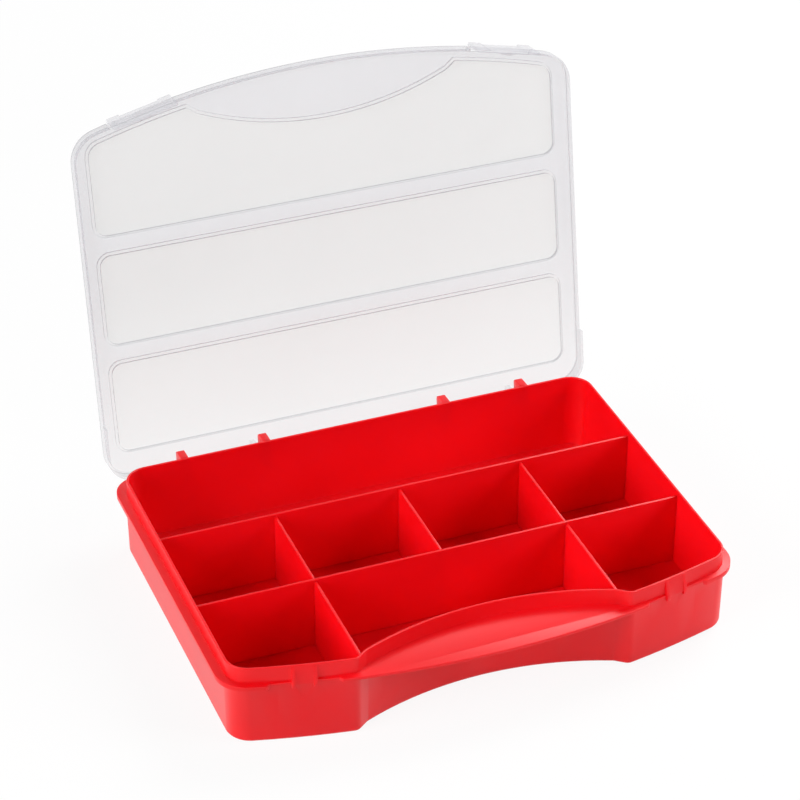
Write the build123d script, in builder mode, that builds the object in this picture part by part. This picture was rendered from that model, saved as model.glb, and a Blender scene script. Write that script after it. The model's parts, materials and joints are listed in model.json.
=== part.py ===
from build123d import *
import os
from math import asin, cos, radians, sin, sqrt, tan

# Compartment storage box: a moulded tray with fixed dividers and a clear hinged lid.
# Millimetres. X runs along the length, -Y is the handle side, +Z is up, and the
# origin is the middle of the tray's underside. The lid is drawn closed and then
# turned about its hinge into the open position.

# Tray
length = 312.0  # over the rim flange
depth = 236.0  # from the front of the handle ledge to the back of the rim flange
tray_height = 51.0  # underside to the top of the rim lip
floor_thickness = 2.0
wall_thickness = 2.4
draft = 0.8  # degrees, on every upright wall
foot_radius = 2.5  # rounding along the bottom edge
front_radius = 523.0  # bow of the front edge in plan

# Rim
side_overhang = 4.4  # of the flange beyond the wall
front_overhang = 2.8
back_overhang = 4.6
flange_thickness = 1.9
lip_height = 9.8  # of the lip above the flange
lip_thickness = 1.4
flange_back_corner = 16.0
flange_front_corner = 20.0
wall_back_corner = 15.0
bead_width = 1.6  # of the thicker edge round the flange, which the ledge hasn't
bead_depth = 1.2
rim_rounding = 0.5

# Handle recess in the front wall, below the ledge
recess_shoulder = 74.0  # from the flange's end to the corner where the front wall turns in
recess_turn = 7.2  # how far the turned-in wall runs along the box
recess_turn_depth = 5.6  # and how far it runs inwards
recess_depth = 30.2  # from the ledge's front edge to the deepest point of the hollow wall
recess_outer_corner = 6.0
recess_inner_corner = 8.0

# Dividers
divider_top = 1.6  # thickness at the top edge
divider_draft = 0.6  # degrees each side
back_row_depth = 68.9  # from the hollow's back edge to the back long divider
middle_row_depth = 68.6  # between the two long dividers
side_compartment_width = 71.4  # from the hollow's end to the first cross divider
long_divider_drop = 3.2  # below the rim
cross_divider_drop = 1.5  # below the long dividers

# Catches on the tray for the lid's snap tabs
latch_from_end = 43.6  # middle of a catch, from the end of the flange
latch_zone = 43.0  # width of the notch in the flange
notch_inset = 2.3  # notch floor, measured in from the flange's front edge
notch_slope = 45.0  # degrees, of the notch's two ends
guide_spacing = 12.0  # between the middles of the two guide ribs
guide_thickness = 2.2
guide_inset = 1.0
guide_drop = 1.7  # of the ribs' lower ends below the flange
catch_inset = 1.7
catch_thickness = 1.6

# Hinge
hinge_setback = 4.6  # of the hinge axis behind the wall
hinge_drop = 0.6  # of the hinge axis below the flange's top
outer_ear_from_end = 45.4
inner_ear_from_end = 97.4
ear_thickness = 4.6
ear_boss_radius = 4.0
ear_top_radius = 3.0
ear_top_rise = 7.1  # of the rounded top's centre above the hinge axis
ear_top_lean = 2.0  # and how far that centre leans back behind it
ear_drop = 10.0  # of the ear's lower end below the flange
pin_radius = 1.9
pin_clearance = 0.05
lug_radius = 3.2
lug_thickness = 3.0
lug_gap = 0.4
heel_length = 5.5
heel_gap = 0.3
open_angle = 99.6

# Lid
lid_gap = 0.4  # between the lid and the tray's rim or flange
lid_thickness = 1.6
lid_inset = 0.6  # of the lid's edge from the flange's edge
lid_back_reach = 0.6  # from the hinge axis back to the inside of the back skirt
skirt_depth = 7.0  # of the lid's edge at the front and the sides
deep_skirt_run = 36.0  # of the deeper edge along each side, from the back
panel_rise = 2.0
panel_margin = 2.7  # from the tray's inside wall to a panel's side
panel_back_margin = 4.2
panel_gap = 9.2  # between two panels, over a divider
panel_corner = 8.5
ear_slot_clearance = 0.5

# Snap tabs
tab_width = 40.0
tab_shoulder = 8.0  # width of the proud part at each end of a tab
tab_thickness = 2.0
finger_groove = 0.9  # depth of the hollow between the shoulders
tab_proud = 1.4  # beyond the flange's front edge
tab_length = 17.0  # from the lid's top to the tab's foot
tab_gap = 0.5
tab_root_inset = 3.4  # flex line, measured in from the flange's front edge
barb_width = 7.6
barb_reach = 1.7
barb_height = 2.6
barb_gap = 0.3

# Worked out from the sizes above
half_length = length / 2
half_depth = depth / 2
arc_centre_y = front_radius - half_depth
flange_top = tray_height - lip_height
flange_underside = flange_top - flange_thickness
wall_half_length = half_length - side_overhang
wall_back = half_depth - back_overhang
hollow_half_length = wall_half_length - wall_thickness
hollow_back = wall_back - wall_thickness
lip_back = hollow_back + lip_thickness
recess_half_width = half_length - recess_shoulder
recess_foot_half_width = recess_half_width - recess_turn
back_divider_y = hollow_back - back_row_depth
front_divider_y = back_divider_y - middle_row_depth
cross_divider_x = hollow_half_length - side_compartment_width
latch_x = half_length - latch_from_end
hinge_ears = (half_length - inner_ear_from_end, half_length - outer_ear_from_end)
hinge_y = wall_back + hinge_setback
hinge_z = flange_top - hinge_drop
hinge_axis = Axis((0, hinge_y, hinge_z), (1, 0, 0))
lid_underside = tray_height + lid_gap
lid_top = lid_underside + lid_thickness
skirt_foot = lid_top - skirt_depth
deep_skirt_foot = flange_top + lid_gap
lid_back = hinge_y + lid_back_reach + lid_thickness
tab_foot = lid_top - tab_length
tab_inner = tab_thickness - tab_proud  # a tab's inner face, in from the flange's front edge
edge_match = 0.01  # how closely a corner has to sit to where it was drawn


def front_point(x, inset=0.0):
    """A point on the front bow, set in from the flange's front edge."""
    return (x, arc_centre_y - sqrt((front_radius - inset) ** 2 - x**2))


def wall_point(x):
    """A point on the outside of the front wall."""
    return front_point(x, front_overhang)


def bowed_outline(inset, back_y, back_corner):
    """The plan of the flange or the lid: straight back and sides, bowed front."""
    half = half_length - inset
    with BuildSketch() as plan:
        with BuildLine():
            back = Line((-half, back_y), (half, back_y))
            right = Line(back @ 1, front_point(half, inset))
            front = ThreePointArc(right @ 1, front_point(0, inset), front_point(-half, inset))
            Line(front @ 1, back @ 0)
        make_face()
        fillet(plan.vertices().group_by(Axis.Y)[-1], back_corner)
        fillet(plan.vertices().group_by(Axis.Y)[0], flange_front_corner - inset)
    return plan.sketch


def wall_outline():
    """The plan of the tray's outside wall under the flange, with the handle recess."""
    half, turn, foot = wall_half_length, recess_half_width, recess_foot_half_width
    middle = (half + turn) / 2
    foot_y = wall_point(turn)[1] + recess_turn_depth
    with BuildSketch() as plan:
        with BuildLine():
            Line((-half, wall_back), (half, wall_back))
            Line((half, wall_back), wall_point(half))
            ThreePointArc(wall_point(half), wall_point(middle), wall_point(turn))
            Line(wall_point(turn), (foot, foot_y))
            ThreePointArc((foot, foot_y), (0, recess_depth - half_depth), (-foot, foot_y))
            Line((-foot, foot_y), wall_point(-turn))
            ThreePointArc(wall_point(-turn), wall_point(-middle), wall_point(-half))
            Line(wall_point(-half), (-half, wall_back))
        make_face()
        fillet(plan.vertices().group_by(Axis.Y)[-1], wall_back_corner)
        corner_sets = (
            (half, flange_front_corner - side_overhang),
            (turn, recess_outer_corner),
            (foot, recess_inner_corner),
        )
        for corner_x, radius in corner_sets:
            front = plan.vertices().filter_by(lambda v: v.Y < 0)
            fillet(front.filter_by(lambda v: abs(abs(v.X) - corner_x) < edge_match), radius)
    return plan.sketch


def inset_plan(plan, distance):
    """A plan drawn in by a distance all round, or out where it is negative."""
    with BuildSketch() as smaller:
        add(plan)
        offset(amount=-distance, mode=Mode.REPLACE)
    return smaller.sketch


def latch_plane(side, z=0.0):
    """A plane on the front edge at a snap tab: x along the edge, y inwards, z up."""
    centre = front_point(side * latch_x)
    along = Vector(cos(edge_turn), side * sin(edge_turn), 0)
    return Plane(origin=(centre[0], centre[1], z), x_dir=along, z_dir=(0, 0, 1))


def latch_section(side, across=0.0):
    """The upright plane square to the front edge there: x inwards, y up."""
    base = latch_plane(side)
    origin = base.origin + base.x_dir * across
    return Plane(origin=origin, x_dir=base.y_dir, z_dir=base.x_dir)


def rib_profile(face, foot, shoulder):
    """A rib that stands out to its face, and slopes back to the lip from its shoulder up."""
    root = front_overhang + wall_thickness - lip_thickness / 2
    top = tray_height - rim_rounding
    with BuildSketch() as profile:
        with BuildLine():
            Polyline((root, foot), (face, foot), (face, shoulder), (lip_face, top), (root, top), close=True)
        make_face()
    return profile.sketch


def rim_outline():
    """The plan of the flange, notched at the snap tabs and between the hinge ears."""
    with BuildSketch() as plan:
        add(bowed_outline(0.0, half_depth, flange_back_corner))
        for side in sides:
            with Locations(latch_plane(side).location):
                Trapezoid(
                    latch_zone + 2 * notch_inset, 2 * notch_inset, notch_slope, mode=Mode.SUBTRACT
                )
        with Locations([(side * sum(hinge_ears) / 2, half_depth) for side in sides]):
            Rectangle(
                hinge_ears[1] - hinge_ears[0] + ear_thickness + 2 * lug_gap,
                2 * back_overhang,
                mode=Mode.SUBTRACT,
            )
    return plan.sketch


edge_turn = asin(latch_x / front_radius)
lip_face = front_overhang + wall_thickness - lip_thickness  # in from the flange's front edge
wall_plan = wall_outline()
cavity_plan = inset_plan(wall_plan, wall_thickness)
lip_plan = inset_plan(cavity_plan, -lip_thickness)
inside_bead_plan = bowed_outline(bead_width, half_depth - bead_width, flange_back_corner - bead_width)
sides = (-1, 1)
rim_plan = rim_outline()
ear_places = [side * x for side in sides for x in hinge_ears]

# Tray: drafted walls and floor under a thin flange, and an upright lip round the
# hollow. In front the flange widens into the handle ledge over the recess.
with BuildPart() as cavity:
    with BuildSketch(Plane.XY.offset(tray_height)):
        add(cavity_plan)
    extrude(amount=-(tray_height - floor_thickness), taper=draft)

with BuildPart() as tray:
    with BuildSketch(Plane.XY.offset(flange_underside)):
        add(wall_plan)
    extrude(amount=-flange_underside, taper=draft)
    fillet(tray.edges().group_by(Axis.Z)[0], foot_radius)
    with BuildSketch(Plane.XY.offset(flange_underside)):
        add(rim_plan)
    extrude(amount=flange_thickness)
    with BuildSketch(Plane.XY.offset(flange_underside)):
        add(rim_plan)
        add(inside_bead_plan, mode=Mode.SUBTRACT)
        with Locations((0, -half_depth)):
            Rectangle(2 * latch_x, half_depth, align=(Align.CENTER, Align.MIN), mode=Mode.SUBTRACT)
    extrude(amount=-bead_depth)
    with BuildSketch(Plane.XY.offset(flange_top)):
        add(lip_plan)
    extrude(amount=lip_height)
    add(cavity.part, mode=Mode.SUBTRACT)
    fillet(tray.edges().group_by(Axis.Z)[-1], rim_rounding)
    for side in sides:
        # Two guide ribs with a sloping catch between them
        for rib in (-guide_spacing / 2, guide_spacing / 2):
            with BuildSketch(latch_section(side, rib)):
                add(rib_profile(guide_inset, flange_underside - guide_drop, flange_top))
            extrude(amount=guide_thickness / 2, both=True)
        with BuildSketch(latch_section(side)):
            add(rib_profile(catch_inset, flange_underside, flange_underside + catch_thickness))
        extrude(amount=guide_spacing / 2, both=True)
tray.part.label = "tray"

# Dividers: two long ones across the whole length and five cross ones, all trimmed
# to the hollow of the tray so that their ends and feet seat on its walls.
long_divider_height = tray_height - long_divider_drop - floor_thickness
cross_divider_height = long_divider_height - cross_divider_drop
divider_foot = divider_top + 2 * long_divider_height * tan(radians(divider_draft))


def divider_blade(plane, run, height):
    """A tapered upright blade of a given length and height, standing on the floor."""
    top = divider_foot / 2 - height * tan(radians(divider_draft))
    with BuildPart() as blade:
        with BuildSketch(plane):
            with BuildLine():
                Polyline(
                    (-divider_foot / 2, floor_thickness),
                    (divider_foot / 2, floor_thickness),
                    (top, floor_thickness + height),
                    (-top, floor_thickness + height),
                    close=True,
                )
            make_face()
        extrude(amount=run / 2, both=True)
    return blade.part


dividers = {}
for name, y in (("back_long_divider", back_divider_y), ("front_long_divider", front_divider_y)):
    across = Plane(origin=(0, y, 0), x_dir=(0, 1, 0), z_dir=(1, 0, 0))
    with BuildPart() as long_divider:
        add(divider_blade(across, length, long_divider_height))
        add(cavity.part, mode=Mode.INTERSECT)
    long_divider.part.label = name
    dividers[name] = long_divider.part

cross_dividers = [
    ("middle_row_left_divider", -cross_divider_x, back_divider_y, front_divider_y),
    ("middle_row_centre_divider", 0.0, back_divider_y, front_divider_y),
    ("middle_row_right_divider", cross_divider_x, back_divider_y, front_divider_y),
    ("front_row_left_divider", -cross_divider_x, front_divider_y, -half_depth),
    ("front_row_right_divider", cross_divider_x, front_divider_y, -half_depth),
]
for name, x, back_end, front_end in cross_dividers:
    along = Plane(origin=(x, (back_end + front_end) / 2, 0), x_dir=(1, 0, 0), z_dir=(0, -1, 0))
    with BuildPart() as cross_divider:
        add(divider_blade(along, back_end - front_end, cross_divider_height))
        add(cavity.part, mode=Mode.INTERSECT)
        add(dividers["back_long_divider"], mode=Mode.SUBTRACT)
        add(dividers["front_long_divider"], mode=Mode.SUBTRACT)
    cross_divider.part.label = name
    dividers[name] = cross_divider.part

# Hinge ears: four rounded fins behind the back wall, each with a bore for a pin.
ear_names = ("outer_left", "inner_left", "inner_right", "outer_right")
ears = {}
for place, x in zip(ear_names, sorted(ear_places)):
    with BuildPart() as ear:
        with BuildSketch(Plane.YZ.offset(x)):
            with Locations((hinge_y, hinge_z)):
                Circle(ear_boss_radius)
            with Locations((hinge_y + ear_top_lean, hinge_z + ear_top_rise)):
                Circle(ear_top_radius)
            with Locations((hollow_back, flange_underside - ear_drop)):
                Rectangle(wall_thickness, lip_height + flange_thickness + ear_drop, align=Align.MIN)
            make_hull()
            with Locations((lip_back, 0)):
                Rectangle(length, length, align=(Align.MIN, Align.CENTER), mode=Mode.INTERSECT)
            with Locations((hinge_y, hinge_z)):
                Circle(pin_radius + pin_clearance, mode=Mode.SUBTRACT)
        extrude(amount=ear_thickness / 2, both=True)
        add(tray.part, mode=Mode.SUBTRACT)
    ear.part.label = f"{place}_hinge_ear"
    ears[ear.part.label] = ear.part

# Lid: a thin plate with three raised panels and a skirt, deeper along the hinge.
lid_plan = bowed_outline(lid_inset, lid_back, flange_back_corner)
panel_plan = inset_plan(cavity_plan, panel_margin)
panel_width = 2 * (hollow_half_length - panel_margin)


def plain_panel(front_y, back_y):
    """The plan of a raised panel between two lines across the lid."""
    with BuildSketch() as plan:
        with Locations((0, (front_y + back_y) / 2)):
            RectangleRounded(panel_width, back_y - front_y, panel_corner)
    return plan.sketch


def front_panel(back_y):
    """The plan of the front panel, which follows the bowed and hollow front."""
    with BuildSketch() as plan:
        add(panel_plan)
        with Locations((0, back_y)):
            Rectangle(length, depth, align=(Align.CENTER, Align.MAX), mode=Mode.INTERSECT)
        fillet(plan.vertices().group_by(Axis.Y)[-1], panel_corner)
    return plan.sketch


panels = [
    plain_panel(back_divider_y + panel_gap / 2, hollow_back - panel_back_margin),
    plain_panel(front_divider_y + panel_gap / 2, back_divider_y - panel_gap / 2),
    front_panel(front_divider_y - panel_gap / 2),
]

with BuildPart() as lid:
    with BuildSketch(Plane.XY.offset(skirt_foot)):
        add(lid_plan)
    extrude(amount=lid_top - skirt_foot)
    with BuildSketch(Plane.XY.offset(deep_skirt_foot)):
        add(lid_plan)
        with Locations((0, lid_back)):
            Rectangle(length, deep_skirt_run, align=(Align.CENTER, Align.MAX), mode=Mode.INTERSECT)
    extrude(amount=lid_top - deep_skirt_foot)
    with BuildSketch(Plane.XY.offset(lid_top)):
        for panel in panels:
            add(panel)
    extrude(amount=panel_rise, taper=draft)
    with BuildSketch(Plane.XY.offset(deep_skirt_foot)):
        add(inset_plan(lid_plan, lid_thickness))
    extrude(amount=lid_underside - deep_skirt_foot, mode=Mode.SUBTRACT)
    with BuildSketch(Plane.XY.offset(lid_underside)):
        for panel in panels:
            add(inset_plan(panel, lid_thickness))
    extrude(amount=panel_rise, taper=draft, mode=Mode.SUBTRACT)
    # Notches for the snap tabs
    for side in sides:
        with BuildSketch(latch_plane(side, skirt_foot)):
            Rectangle(tab_width + 2 * tab_gap, 2 * (tab_root_inset + tab_gap))
        extrude(amount=lid_top - skirt_foot, mode=Mode.SUBTRACT)
    # Slots in the skirt that the hinge ears stand in
    with BuildSketch(Plane.XY.offset(deep_skirt_foot)):
        with Locations([(x, lip_back - ear_slot_clearance) for x in ear_places]):
            Rectangle(
                ear_thickness + 2 * ear_slot_clearance,
                half_depth,
                align=(Align.CENTER, Align.MIN),
            )
    extrude(amount=lid_underside - deep_skirt_foot, mode=Mode.SUBTRACT)

# Hinge lugs: four arms under the lid's back edge, one beside each ear, with a pin
# that turns in the ear and a heel that comes to rest on the tray when the lid is open.
lugs = {}
for place, x in zip(ear_names, sorted(ear_places)):
    side = 1 if x > 0 else -1
    inward = -side if abs(x) == max(hinge_ears) else side
    near_face = x + inward * (ear_thickness / 2 + lug_gap)
    middle = near_face + inward * lug_thickness / 2
    with BuildPart() as lug:
        with BuildSketch(Plane.YZ.offset(middle)):
            with Locations((hinge_y, hinge_z)):
                Circle(lug_radius)
            with Locations((hinge_y - lug_radius, hinge_z)):
                Rectangle(
                    lid_back - hinge_y + lug_radius,
                    lid_underside - hinge_z,
                    align=(Align.MIN, Align.MIN),
                )
            with Locations(Location((hinge_y, hinge_z), open_angle)):
                Rectangle(
                    hinge_setback - heel_gap,
                    heel_length,
                    align=(Align.MAX, Align.MAX),
                )
        extrude(amount=lug_thickness / 2, both=True)
        with BuildSketch(Plane.YZ.offset(near_face)):
            with Locations((hinge_y, hinge_z)):
                Circle(pin_radius)
        extrude(amount=-inward * (lug_gap + ear_thickness))
        add(lid.part, mode=Mode.SUBTRACT)
    lug.part.label = f"{place}_hinge_lug"
    lugs[lug.part.label] = lug.part

# Snap tabs: an angled spring tab at each notch, with a barb that hooks under the catch.
tabs = {}
for side, place in zip(sides, ("left", "right")):
    with BuildPart() as tab:
        with BuildSketch(latch_section(side)):
            with BuildLine():
                Polyline(
                    (tab_root_inset, lid_underside),
                    (tab_root_inset, lid_top),
                    (-tab_proud, lid_top),
                    (-tab_proud, tab_foot),
                    (tab_inner, tab_foot),
                    (tab_inner, lid_underside),
                    close=True,
                )
            make_face()
        extrude(amount=tab_width / 2, both=True)
        with BuildSketch(latch_section(side)):
            with Locations((-tab_proud, tab_foot)):
                Rectangle(finger_groove, tab_length, align=Align.MIN)
        extrude(amount=tab_width / 2 - tab_shoulder, both=True, mode=Mode.SUBTRACT)
        with BuildSketch(latch_section(side)):
            with BuildLine():
                Polyline(
                    (tab_inner, flange_underside - barb_gap),
                    (tab_inner + barb_reach, flange_underside - barb_gap),
                    (tab_inner, flange_underside - barb_gap - barb_height),
                    close=True,
                )
            make_face()
        extrude(amount=barb_width / 2, both=True)
    tab.part.label = f"{place}_snap_tab"
    tabs[tab.part.label] = tab.part

# The lid, its lugs and its snap tabs stand open, turned back about the hinge.
fixed = {"tray": tray.part, **dividers, **ears}
opened = {"lid": lid.part, **lugs, **tabs}
pieces = dict(fixed)
for name, solid in opened.items():
    turned = solid.rotate(hinge_axis, -open_angle)
    turned.label = name
    pieces[name] = turned

os.makedirs("parts", exist_ok=True)
for name, solid in pieces.items():
    export_step(solid, f"parts/{name}.step")
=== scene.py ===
"""Compartment storage box: a red moulded tray and its clear hinged lid, shown open.

Lengths are in metres.
"""

import json
import logging
import math
from dataclasses import dataclass
from enum import Enum
from typing import Any

import bpy
from mathutils import Euler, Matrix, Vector


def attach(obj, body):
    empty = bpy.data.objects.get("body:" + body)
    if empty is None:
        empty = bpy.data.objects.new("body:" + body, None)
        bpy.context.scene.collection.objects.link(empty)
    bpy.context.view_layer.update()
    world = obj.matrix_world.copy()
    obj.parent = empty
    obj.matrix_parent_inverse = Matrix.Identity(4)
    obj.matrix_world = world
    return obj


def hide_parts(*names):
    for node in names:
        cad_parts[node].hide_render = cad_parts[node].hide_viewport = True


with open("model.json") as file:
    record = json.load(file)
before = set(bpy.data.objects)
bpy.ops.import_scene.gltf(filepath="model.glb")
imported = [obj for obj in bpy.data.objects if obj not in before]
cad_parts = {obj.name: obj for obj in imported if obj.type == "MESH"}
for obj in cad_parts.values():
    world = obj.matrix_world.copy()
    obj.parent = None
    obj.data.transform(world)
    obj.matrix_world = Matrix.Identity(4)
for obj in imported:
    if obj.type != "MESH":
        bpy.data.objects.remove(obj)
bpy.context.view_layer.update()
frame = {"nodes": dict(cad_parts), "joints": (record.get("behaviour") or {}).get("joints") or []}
lid_joint = next(joint for joint in frame["joints"] if joint["name"] == "lid_hinge")

log = logging.getLogger("storage_box")

Colour = tuple[float, float, float, float]
Place = tuple[float, float, float]

WHITE: Colour = (1.0, 1.0, 1.0, 1.0)
WHITE_STRENGTH = 1.0

# The Mix node's colour sockets, by place, because its number sockets have the same names
MIX_LOW, MIX_HIGH, MIX_RESULT = 6, 7, 2


class Body(Enum):
    """The bodies that pieces ride on."""

    TRAY = "tray_body"
    LID = "lid_body"
    LEFT_TAB = "left_snap_tab_body"
    RIGHT_TAB = "right_snap_tab_body"


class Slot(Enum):
    """The record's material slots."""

    TRAY = "tray_plastic"
    LID = "lid_plastic"


class Ray(Enum):
    """Kinds of ray that a surface can tell apart."""

    CAMERA = "Is Camera Ray"
    GLOSSY = "Is Glossy Ray"
    TRANSMISSION = "Is Transmission Ray"


class Sock:
    """A shader output that can be used in Python expressions."""

    def __init__(self, graph: "Graph", out: bpy.types.NodeSocket | None) -> None:
        """Keep the output together with the graph that it belongs to."""
        self.graph = graph
        self.out = out

    def _math(self, operation: str, *values: "Sock | float") -> "Sock":
        """Add a Math node that works on the given values."""
        return self.graph.node("ShaderNodeMath", {"operation": operation}, dict(enumerate(values)))

    def __add__(self, other: "Sock | float") -> "Sock":
        """Sum."""
        return self._math("ADD", self, other)

    def __sub__(self, other: "Sock | float") -> "Sock":
        """Difference."""
        return self._math("SUBTRACT", self, other)

    def __rsub__(self, other: float) -> "Sock":
        """Difference with the number first."""
        return self._math("SUBTRACT", other, self)

    def __mul__(self, other: "Sock | float") -> "Sock":
        """Product."""
        return self._math("MULTIPLY", self, other)

    __radd__ = __add__
    __rmul__ = __mul__

    def step(self, start: float, end: float) -> "Sock":
        """A smooth ramp from 0 at start to 1 at end.

        Args:
            start: The value where the ramp leaves 0.
            end: The value where the ramp reaches 1.

        Returns:
            The ramped value.
        """
        values = {"Value": self, "From Min": start, "From Max": end}
        return self.graph.node("ShaderNodeMapRange", {"interpolation_type": "SMOOTHSTEP"}, values)


class Graph:
    """The node graph of one material or of the world."""

    def __init__(self, owner: bpy.types.Material | bpy.types.World) -> None:
        """Start with an empty graph.

        Args:
            owner: The material or the world that shows the graph.
        """
        self.owner = owner
        owner.use_nodes = True
        self.tree = owner.node_tree
        self.tree.nodes.clear()

    def node(
        self,
        kind: str,
        settings: dict[str, Any] | None = None,
        inputs: dict[str | int, Any] | None = None,
        output: str | int = 0,
    ) -> Sock:
        """Add a node.

        Args:
            kind: The node's type name.
            settings: Its own settings, set before its sockets.
            inputs: Values or links of its sockets, by name or place.
            output: The socket to hand back.

        Returns:
            The chosen output.
        """
        made = self.tree.nodes.new(kind)
        for name, value in (settings or {}).items():
            setattr(made, name, value)
        for name, value in (inputs or {}).items():
            socket = made.inputs[name]
            if isinstance(value, Sock):
                self.tree.links.new(value.out, socket)
            else:
                socket.default_value = value
        return Sock(self, made.outputs[output] if made.outputs else None)

    def noise(self, scale: float) -> Sock:
        """A smooth random pattern on the piece.

        Args:
            scale: Waves per metre, roughly.

        Returns:
            The pattern, around 0.5.
        """
        place = self.node("ShaderNodeTexCoord", output="Object")
        return self.node("ShaderNodeTexNoise", inputs={"Vector": place, "Scale": scale})

    def mix(self, mask: Sock | float, low: Sock | Colour, high: Sock | Colour) -> Sock:
        """Blend two colours.

        Args:
            mask: 0 for low, 1 for high.
            low: A colour or a link.
            high: A colour or a link.

        Returns:
            The blended colour.
        """
        inputs = {"Factor": mask, MIX_LOW: low, MIX_HIGH: high}
        return self.node("ShaderNodeMix", {"data_type": "RGBA"}, inputs, MIX_RESULT)

    def mix_shaders(self, share: Sock, low: Sock, high: Sock) -> Sock:
        """Blend two shaders, from low where the share is 0 to high where it is 1."""
        return self.node("ShaderNodeMixShader", inputs=dict(enumerate((share, low, high))))

    def vector(self, operation: str, *values: Sock | Place, output: str | int = 0) -> Sock:
        """Add a Vector Math node that works on the given vectors."""
        settings = {"operation": operation}
        return self.node("ShaderNodeVectorMath", settings, dict(enumerate(values)), output)

    def bump(self, height: Sock, distance: float) -> Sock:
        """A normal bent by a height, in metres at a height of 1."""
        return self.node("ShaderNodeBump", inputs={"Height": height, "Distance": distance})

    def rays(self, *kinds: Ray) -> Sock:
        """Tell some rays from the others.

        Args:
            kinds: The kinds of ray to look for.

        Returns:
            1 for rays of these kinds and 0 for all others.
        """
        seen = self.node("ShaderNodeLightPath", output=kinds[0].value)
        for kind in kinds[1:]:
            seen = seen + self.node("ShaderNodeLightPath", output=kind.value)
        return self.node("ShaderNodeClamp", inputs={"Value": seen})

    def finish(self, shader: Sock, output: str = "ShaderNodeOutputMaterial") -> Any:
        """Send a shader to the owner's surface.

        Args:
            shader: The shader to show.
            output: The kind of output node.

        Returns:
            The material or the world.
        """
        self.node(output, inputs={"Surface": shader})
        return self.owner


@dataclass(frozen=True)
class TrayPlastic:
    """Red polypropylene: smooth, slightly glossy and a little translucent."""

    colour: Colour = (0.85, 0.004, 0.010, 1.0)
    deep_colour: Colour = (0.76, 0.002, 0.006, 1.0)
    roughness: float = 0.30
    roughness_spread: float = 0.08
    flow_scale: float = 9.0
    flow_range: tuple[float, float] = (0.3, 0.7)
    grain_scale: float = 900.0
    grain_height: float = 0.00001
    refraction: float = 1.38
    translucency: float = 0.6
    light_reach: Place = (0.004, 0.0002, 0.0002)

    def build(self) -> bpy.types.Material:
        """Make the material.

        Returns:
            The material.
        """
        graph = Graph(bpy.data.materials.new("tray_red_plastic"))
        flow = graph.noise(self.flow_scale)
        inputs = {
            "Base Color": graph.mix(flow.step(*self.flow_range), self.deep_colour, self.colour),
            "Roughness": self.roughness + self.roughness_spread * flow,
            "Normal": graph.bump(graph.noise(self.grain_scale), self.grain_height),
            "IOR": self.refraction,
            "Subsurface Weight": self.translucency,
            "Subsurface Radius": self.light_reach,
            "Subsurface Scale": 1.0,
        }
        return graph.finish(graph.node("ShaderNodeBsdfPrincipled", inputs=inputs))


@dataclass(frozen=True)
class Haze:
    """How milky a clear surface is, in layers parted by levels over the hinge.

    Beside the hinge, part of the haze is missing, by the share given below, as painted light on
    the part of the lid that gets less lamp light.
    """

    name: str
    levels: tuple[float, ...]
    colours: tuple[Colour, ...]
    covers: tuple[float, ...]
    roughness: float
    hinge_painted_light: float


@dataclass(frozen=True)
class LidPlastic:
    """Clear polypropylene with a faint milky haze, bluer between its raised panels.

    The haze thins out near the hinge, over a span measured from the hinge towards the lid's free
    edge, as painted light where the lid gets less lamp light.
    Its layers meet within blend of their level.
    """

    flats: Haze = Haze(
        name="lid_clear_plastic",
        levels=(0.0126,),
        colours=((0.56, 0.56, 0.62, 1.0), (0.58, 0.58, 0.58, 1.0)),
        covers=(0.21, 0.19),
        roughness=0.22,
        hinge_painted_light=0.6,
    )
    # Painted shade: the steps and rims get darker colours than the flats, so they show as dark
    # lines, and a denser film where they are seen through their length.
    walls: Haze = Haze(
        name="lid_clear_plastic_walls_painted_shade",
        levels=(0.0109, 0.0126),
        colours=((0.48, 0.48, 0.52, 1.0), (0.26, 0.26, 0.29, 1.0), (0.34, 0.34, 0.37, 1.0)),
        covers=(0.26, 0.48, 0.36),
        roughness=0.32,
        hinge_painted_light=0.2,
    )
    roughness_spread: float = 0.08
    haze_scale: float = 14.0
    haze_spread: float = 0.03
    refraction: float = 1.49
    hinge: Place = tuple(lid_joint["pos_m"])
    open_angle: float = math.radians(max(lid_joint["range_deg"]))
    blend: float = 0.0001
    painted_light_span: tuple[float, float] = (-0.02, 0.13)

    def outward(self) -> Place:
        """The direction that the lid's top faces while it stands open."""
        return (0.0, math.sin(self.open_angle), math.cos(self.open_angle))

    def forward(self) -> Place:
        """The direction from the hinge to the lid's free edge while it stands open."""
        return (0.0, -math.cos(self.open_angle), math.sin(self.open_angle))

    def build(self, haze: Haze) -> bpy.types.Material:
        """Make a film whose haze changes with its place from the hinge.

        Args:
            haze: The film's haze, with its levels measured the way that the lid's top faces.

        Returns:
            The material.
        """
        graph = Graph(bpy.data.materials.new(haze.name))
        cloud = graph.noise(self.haze_scale)
        place = graph.node("ShaderNodeTexCoord", output="Object")
        from_hinge = graph.vector("SUBTRACT", place, self.hinge)
        height = graph.vector("DOT_PRODUCT", from_hinge, self.outward(), output="Value")
        colour, cover = haze.colours[0], haze.covers[0] + self.haze_spread * cloud
        for layer, level in enumerate(haze.levels):
            above = height.step(level - self.blend, level + self.blend)
            colour = graph.mix(above, colour, haze.colours[layer + 1])
            cover = cover + (haze.covers[layer + 1] - haze.covers[layer]) * above
        # Painted light: near the hinge the film's cover is cut down, to lighten the part of the
        # lid that gets less lamp light.
        reach = graph.vector("DOT_PRODUCT", from_hinge, self.forward(), output="Value")
        near = 1.0 - reach.step(*self.painted_light_span)
        inputs = {
            "Base Color": colour,
            "Roughness": haze.roughness + self.roughness_spread * cloud,
            "Alpha": cover * (1.0 - haze.hinge_painted_light * near),
            "IOR": self.refraction,
        }
        return graph.finish(graph.node("ShaderNodeBsdfPrincipled", inputs=inputs))


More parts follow.
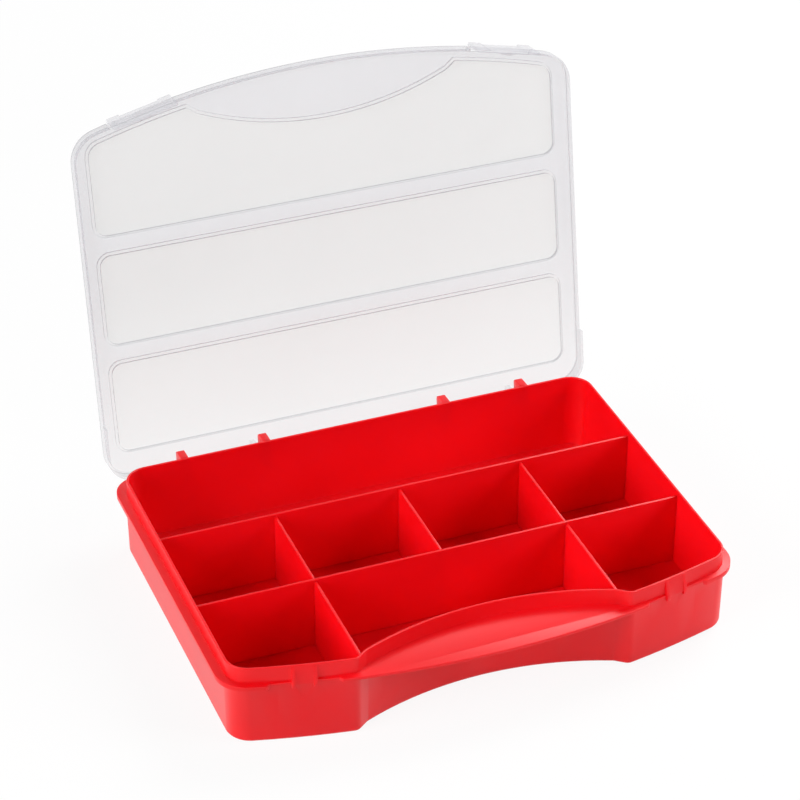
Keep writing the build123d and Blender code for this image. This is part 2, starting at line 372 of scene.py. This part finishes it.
@dataclass(frozen=True)
class Moulding:
    """A group of moulded pieces of one plastic that ride on the same body.

    Angles are in degrees.
    """

    plastic: bpy.types.Material
    nodes: tuple[str, ...]
    body: Body
    slot: Slot
    edge_radius: float = 0.0003
    edge_segments: int = 2
    edge_angle: float = 35.0
    weld: float = 0.000004
    flatness: float = 0.5

    def build(self) -> None:
        """Build every piece, and let each one stand for its node."""
        for node in self.nodes:
            piece = self._copy(node)
            self._join_facets()
            self._soften(piece)
            self._clear_slivers()
            self._dress(piece)
            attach(piece, self.body.value)
            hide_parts(node)
            log.info("%s built, %d faces", piece.name, len(piece.data.polygons))

    def _copy(self, node: str) -> bpy.types.Object:
        """Copy a node's mesh into a piece of its own.

        Args:
            node: The node's name.

        Returns:
            The copy, selected and active.
        """
        bpy.ops.object.select_all(action="DESELECT")
        piece = frame["nodes"][node].copy()
        piece.data = frame["nodes"][node].data.copy()
        piece.name = f"{node}_moulding"
        bpy.context.collection.objects.link(piece)
        piece.select_set(True)
        bpy.context.view_layer.objects.active = piece
        return piece

    def _join_facets(self) -> None:
        """Merge the active piece's loose triangles into one skin with whole flat faces."""
        bpy.ops.object.mode_set(mode="EDIT")
        bpy.ops.mesh.select_all(action="SELECT")
        bpy.ops.mesh.remove_doubles(threshold=self.weld)
        bpy.ops.mesh.dissolve_limited(angle_limit=math.radians(self.flatness))
        bpy.ops.object.mode_set(mode="OBJECT")

    def _soften(self, piece: bpy.types.Object) -> None:
        """Round the sharp edges and shade the curves smooth.

        Args:
            piece: The active piece.
        """
        bevel = piece.modifiers.new("soft_edges", "BEVEL")
        bevel.width = self.edge_radius
        bevel.segments = self.edge_segments
        bevel.limit_method = "ANGLE"
        bevel.angle_limit = math.radians(self.edge_angle)
        bpy.ops.object.modifier_apply(modifier=bevel.name)
        bpy.ops.object.shade_smooth_by_angle(angle=math.radians(self.edge_angle))

    def _clear_slivers(self) -> None:
        """Take out the faces without area that rounding can leave."""
        bpy.ops.object.mode_set(mode="EDIT")
        bpy.ops.mesh.select_all(action="SELECT")
        bpy.ops.mesh.dissolve_degenerate(threshold=self.weld)
        bpy.ops.object.mode_set(mode="OBJECT")

    def _dress(self, piece: bpy.types.Object) -> None:
        """Give the piece its plastic."""
        piece.data.materials.clear()
        piece.data.materials.append(self.plastic)


@dataclass(frozen=True)
class Tray(Moulding):
    """The red tray with its floor, walls, rim flange, lip and handle ledge."""

    nodes: tuple[str, ...] = ("tray",)
    body: Body = Body.TRAY
    slot: Slot = Slot.TRAY


@dataclass(frozen=True)
class Dividers(Tray):
    """The long dividers between the rows and the short ones inside them."""

    nodes: tuple[str, ...] = (
        "back_long_divider",
        "front_long_divider",
        "middle_row_left_divider",
        "middle_row_centre_divider",
        "middle_row_right_divider",
        "front_row_left_divider",
        "front_row_right_divider",
    )


@dataclass(frozen=True)
class HingeEars(Tray):
    """The tray's half of the hinge."""

    nodes: tuple[str, ...] = (
        "outer_left_hinge_ear",
        "inner_left_hinge_ear",
        "inner_right_hinge_ear",
        "outer_right_hinge_ear",
    )


@dataclass(frozen=True)
class HingeLugs(Moulding):
    """The lid's half of the hinge, with its pins."""

    nodes: tuple[str, ...] = (
        "outer_left_hinge_lug",
        "inner_left_hinge_lug",
        "inner_right_hinge_lug",
        "outer_right_hinge_lug",
    )
    body: Body = Body.LID
    slot: Slot = Slot.LID


@dataclass(frozen=True)
class SnapTab(Moulding):
    """One of the two springy tabs on the lid's front edge."""

    slot: Slot = Slot.LID


@dataclass(frozen=True)
class Lid(Moulding):
    """The clear lid, whose rims and steps get a denser film where they are seen through their
    length, and darker colours as painted shade.
    """

    nodes: tuple[str, ...] = ("lid",)
    body: Body = Body.LID
    slot: Slot = Slot.LID
    painted_shade_wall_plastic: bpy.types.Material | None = None
    outward: Place = (0.0, 0.0, 1.0)
    wall_angle: float = 50.0
    edge_segments: int = 3

    def _dress(self, piece: bpy.types.Object) -> None:
        """Give the flats their plastic, and the faces steeper than wall_angle the walls' own,
        whose darker colours are painted shade.

        Args:
            piece: The lid.
        """
        super()._dress(piece)
        piece.data.materials.append(self.painted_shade_wall_plastic)
        steep = math.cos(math.radians(self.wall_angle))
        for face in piece.data.polygons:
            face.material_index = int(abs(face.normal.dot(Vector(self.outward))) < steep)


def facing(direction: Vector) -> Euler:
    """The turn that points a camera or a lamp along a direction."""
    return direction.to_track_quat("-Z", "Y").to_euler()


@dataclass(frozen=True)
class PhotoCamera:
    """The camera at the photograph's viewing angle, fitted on the box's edges.

    Angles are in radians and the sensor's width is in millimetres.
    """

    azimuth: float = 0.3715
    elevation: float = 0.5761
    distance: float = 1.82619
    target: Place = (0.033324, 0.126242, 0.050)
    focal_pixels: float = 2954.42
    image_pixels: float = 800.0
    sensor: float = 36.0

    def build(self) -> None:
        """Add the camera and make it the scene's own."""
        bpy.ops.object.camera_add()
        camera = bpy.context.object
        away = Vector(
            (
                -math.sin(self.azimuth) * math.cos(self.elevation),
                -math.cos(self.azimuth) * math.cos(self.elevation),
                math.sin(self.elevation),
            )
        )
        camera.location = Vector(self.target) + away * self.distance
        camera.rotation_euler = facing(-away)
        camera.data.sensor_width = self.sensor
        camera.data.lens = self.focal_pixels * self.sensor / self.image_pixels
        bpy.context.scene.camera = camera


@dataclass(frozen=True)
class PaleFloor:
    """A plain white floor that keeps the box's shadow and fades to pure white further out."""

    colour: Colour = (0.9, 0.9, 0.9, 1.0)
    whiteness: float = 0.9
    fade_start: float = 0.4
    fade_end: float = 1.2

    def build(self) -> bpy.types.Material:
        """Make the material.

        Returns:
            The material.
        """
        graph = Graph(bpy.data.materials.new("pale_floor"))
        lit = graph.node("ShaderNodeBsdfDiffuse", inputs={"Color": self.colour})
        bright = {"Color": WHITE, "Strength": WHITE_STRENGTH}
        white = graph.node("ShaderNodeEmission", inputs=bright)
        place = graph.node("ShaderNodeTexCoord", output="Object")
        distance = graph.vector("LENGTH", place, output="Value")
        far = distance.step(self.fade_start, self.fade_end)
        whiteness = self.whiteness + (1.0 - self.whiteness) * far
        share = graph.rays(Ray.CAMERA, Ray.GLOSSY, Ray.TRANSMISSION) * whiteness
        return graph.finish(graph.mix_shaders(share, lit, white))


@dataclass(frozen=True)
class PlainSky:
    """A sky that is white to the eye and in reflections, and dimmer as a light."""

    glow: float = 0.1

    def build(self) -> None:
        """Make the sky and give it to the scene."""
        graph = Graph(bpy.data.worlds.new("plain_sky"))
        dim = graph.node("ShaderNodeBackground", inputs={"Color": WHITE, "Strength": self.glow})
        bright = {"Color": WHITE, "Strength": WHITE_STRENGTH}
        white = graph.node("ShaderNodeBackground", inputs=bright)
        sky = graph.mix_shaders(graph.rays(Ray.CAMERA, Ray.GLOSSY), dim, white)
        bpy.context.scene.world = graph.finish(sky, "ShaderNodeOutputWorld")


@dataclass(frozen=True)
class Lamp:
    """A square soft lamp that looks at the middle of the tray's underside."""

    place: Place
    size: float
    power: float

    def build(self) -> None:
        """Add the lamp."""
        bpy.ops.object.light_add(type="AREA", location=self.place)
        lamp = bpy.context.object
        lamp.data.energy = self.power
        lamp.data.size = self.size
        lamp.rotation_euler = facing(-Vector(self.place))


@dataclass(frozen=True)
class Studio:
    """White surroundings: a floor, a plain sky and soft lamps."""

    floor_size: float = 8.0
    lamps: tuple[Lamp, ...] = (
        Lamp(place=(1.4, -0.9, 0.9), size=0.9, power=17.0),
        Lamp(place=(-1.7, -0.4, 0.85), size=1.2, power=34.0),
        Lamp(place=(1.2, 0.7, 1.3), size=1.0, power=26.0),
    )

    def build(self) -> None:
        """Add floor, sky and lamps."""
        bpy.ops.mesh.primitive_plane_add(size=self.floor_size, location=(0, 0, 0))
        floor = bpy.context.object
        floor.name = "floor"
        floor.data.materials.append(PaleFloor().build())
        PlainSky().build()
        for lamp in self.lamps:
            lamp.build()


def main() -> None:
    """Build the box, the studio and the camera."""
    logging.basicConfig(level=logging.INFO, format="%(name)s: %(message)s")
    PhotoCamera().build()
    red = TrayPlastic().build()
    for group in (Tray, Dividers, HingeEars):
        group(plastic=red).build()
    film = LidPlastic()
    clear, walls = film.build(film.flats), film.build(film.walls)
    # The steps and rims take the film with painted shade.
    Lid(plastic=clear, painted_shade_wall_plastic=walls, outward=film.outward()).build()
    HingeLugs(plastic=clear).build()
    for side, body in (("left", Body.LEFT_TAB), ("right", Body.RIGHT_TAB)):
        SnapTab(nodes=(f"{side}_snap_tab",), body=body, plastic=clear).build()
    Studio().build()
    bpy.context.scene.view_settings.view_transform = "Standard"


if __name__ == "__main__":
    main()
